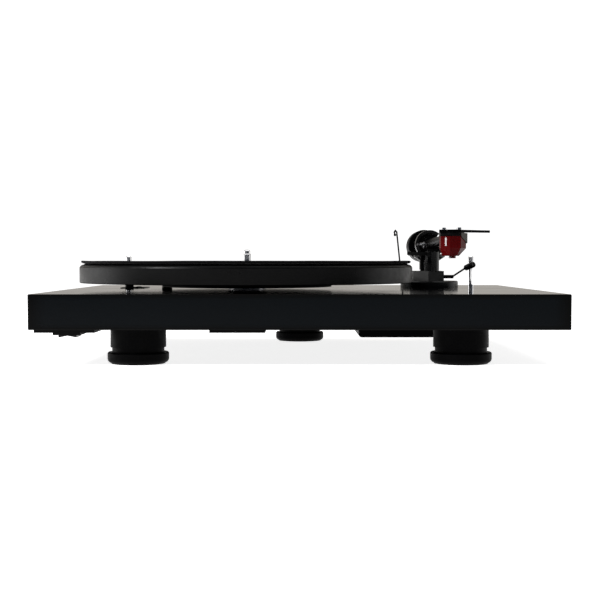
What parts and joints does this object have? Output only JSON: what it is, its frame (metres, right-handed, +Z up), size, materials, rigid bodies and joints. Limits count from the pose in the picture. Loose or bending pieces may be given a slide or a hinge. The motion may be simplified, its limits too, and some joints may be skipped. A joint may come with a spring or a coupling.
{
  "type": "turntable record player",
  "caption": "Belt-drive record player with a gloss plinth, felt-topped platter, pivoted tonearm, cue lift and adjustable feet; no dust cover.",
  "frame": {"origin": "centre of the footprint at shelf level, under the feet", "axes": "+X to the right seen from the front, +Y to the rear, +Z up"},
  "size_m": [0.415, 0.32, 0.1126],
  "materials": {
    "piano_lacquer": "high-gloss black lacquer over fibreboard",
    "satin_black": "satin black powder coat",
    "matte_black": "fine moulded matte",
    "gloss_black": "polished",
    "felt": "short black felt",
    "rubber_black": "soft matt",
    "chrome": "mirror",
    "steel": "ground",
    "anodised": "satin black anodised",
    "bare_aluminium": "turned",
    "bronze": "sintered bronze",
    "brass": "turned, plated",
    "board_green": "solder mask",
    "carbon": "woven carbon under clear resin",
    "red_plastic": "tinted polished",
    "collar": "one white, one red"
  },
  "bodies": {
    "deck": {"plinth": "piano_lacquer", "foot_sleeves": "matte_black", "foot_inserts": "brass", "bearing_housing": "steel", "bearing_bush": "bronze", "thrust_ball": "chrome", "motor_can": "satin_black", "motor_ring": "rubber_black", "motor_plate": "satin_black", "motor_screws": "satin_black", "speed_sensor": "matte_black", "drive_belt": "rubber_black", "control_board": "board_green", "control_cover": "matte_black", "deck_screws": "satin_black", "switch_plate": "matte_black", "connector_box": "matte_black", "connector_panel": "matte_black", "phono_sockets": "brass", "phono_collars": "collar", "dc_socket": "matte_black", "ground_terminal": "brass", "hinge_pins": "chrome", "arm_flange": "anodised", "arm_block": "anodised", "arm_pillar": "anodised", "block_screws": "steel", "rest_column": "anodised", "arm_rest": "matte_black", "anti_skate_hoop": "satin_black"},
    "platter_set": {"axle": "chrome", "sub_platter": "matte_black", "platter": "satin_black", "mat": "felt"},
    "pulley": {"motor_shaft": "steel", "drive_pulley": "satin_black"},
    "arm_yoke": {"yoke": "anodised", "yoke_screws": "chrome", "anti_skate_stub": "anodised"},
    "tonearm": {"bearing_hub": "gloss_black", "tilt_axle": "chrome", "arm_tube": "carbon", "rear_stub": "bare_aluminium", "headshell": "carbon", "finger_lift": "gloss_black", "cartridge_body": "gloss_black", "stylus_unit": "red_plastic", "stylus": "bare_aluminium", "cartridge_screws": "chrome"},
    "balance_weight": {"counterweight": "satin_black"},
    "cue": {"cue_lever": "satin_black", "cue_knob": "gloss_black"},
    "lift": {"lift_rail": "matte_black"},
    "rocker": {"power_rocker": "gloss_black"},
    "left_foot": {"foot_left": "satin_black", "foot_pad_left": "rubber_black"},
    "right_foot": {"foot_right": "satin_black", "foot_pad_right": "rubber_black"},
    "back_foot": {"foot_rear": "satin_black", "foot_pad_rear": "rubber_black"}
  },
  "joints": [
    {"name": "platter_spin", "type": "hinge", "parent": "deck", "child": "platter_set", "pos_m": [-0.048, 0.007, 0.0574], "axis": [0, 0, -1], "continuous": true},
    {"name": "pulley_spin", "type": "hinge", "parent": "deck", "child": "pulley", "pos_m": [-0.161, 0.044, 0.0574], "axis": [0, 0, -1], "continuous": true},
    {"name": "arm_swing", "type": "hinge", "parent": "deck", "child": "arm_yoke", "pos_m": [0.129, 0.1, 0.0973], "axis": [0, 0, -1], "range_deg": [0, 46]},
    {"name": "arm_tilt", "type": "hinge", "parent": "arm_yoke", "child": "tonearm", "pos_m": [0.129, 0.1, 0.0973], "axis": [-1, 0, 0], "range_deg": [-1, 12]},
    {"name": "weight_slide", "type": "slide", "parent": "tonearm", "child": "balance_weight", "axis": [0, 0.9998, -0.0209], "range_m": [-0.012, 0]},
    {"name": "cue_turn", "type": "hinge", "parent": "deck", "child": "cue", "pos_m": [0.14, 0.092, 0.0652], "axis": [-1, 0, 0], "range_deg": [0, 60]},
    {"name": "lift_rise", "type": "slide", "parent": "deck", "child": "lift", "axis": [0, 0, 1], "range_m": [0, 0.0035]},
    {"name": "rocker_tilt", "type": "hinge", "parent": "deck", "child": "rocker", "pos_m": [-0.17945, -0.14, 0.0235], "axis": [0, 1, 0], "range_deg": [-8, 8]},
    {"name": "left_foot_height", "type": "slide", "parent": "deck", "child": "left_foot", "axis": [0, 0, -1], "range_m": [0, 0.005]},
    {"name": "right_foot_height", "type": "slide", "parent": "deck", "child": "right_foot", "axis": [0, 0, -1], "range_m": [0, 0.005]},
    {"name": "back_foot_height", "type": "slide", "parent": "deck", "child": "back_foot", "axis": [0, 0, -1], "range_m": [0, 0.005]}
  ],
  "couplings": [
    {"joint": "pulley_spin", "follows": "platter_spin", "ratio": 12.667},
    {"joint": "lift_rise", "follows": "cue_turn", "m_per_rad": 0.003247}
  ]
}
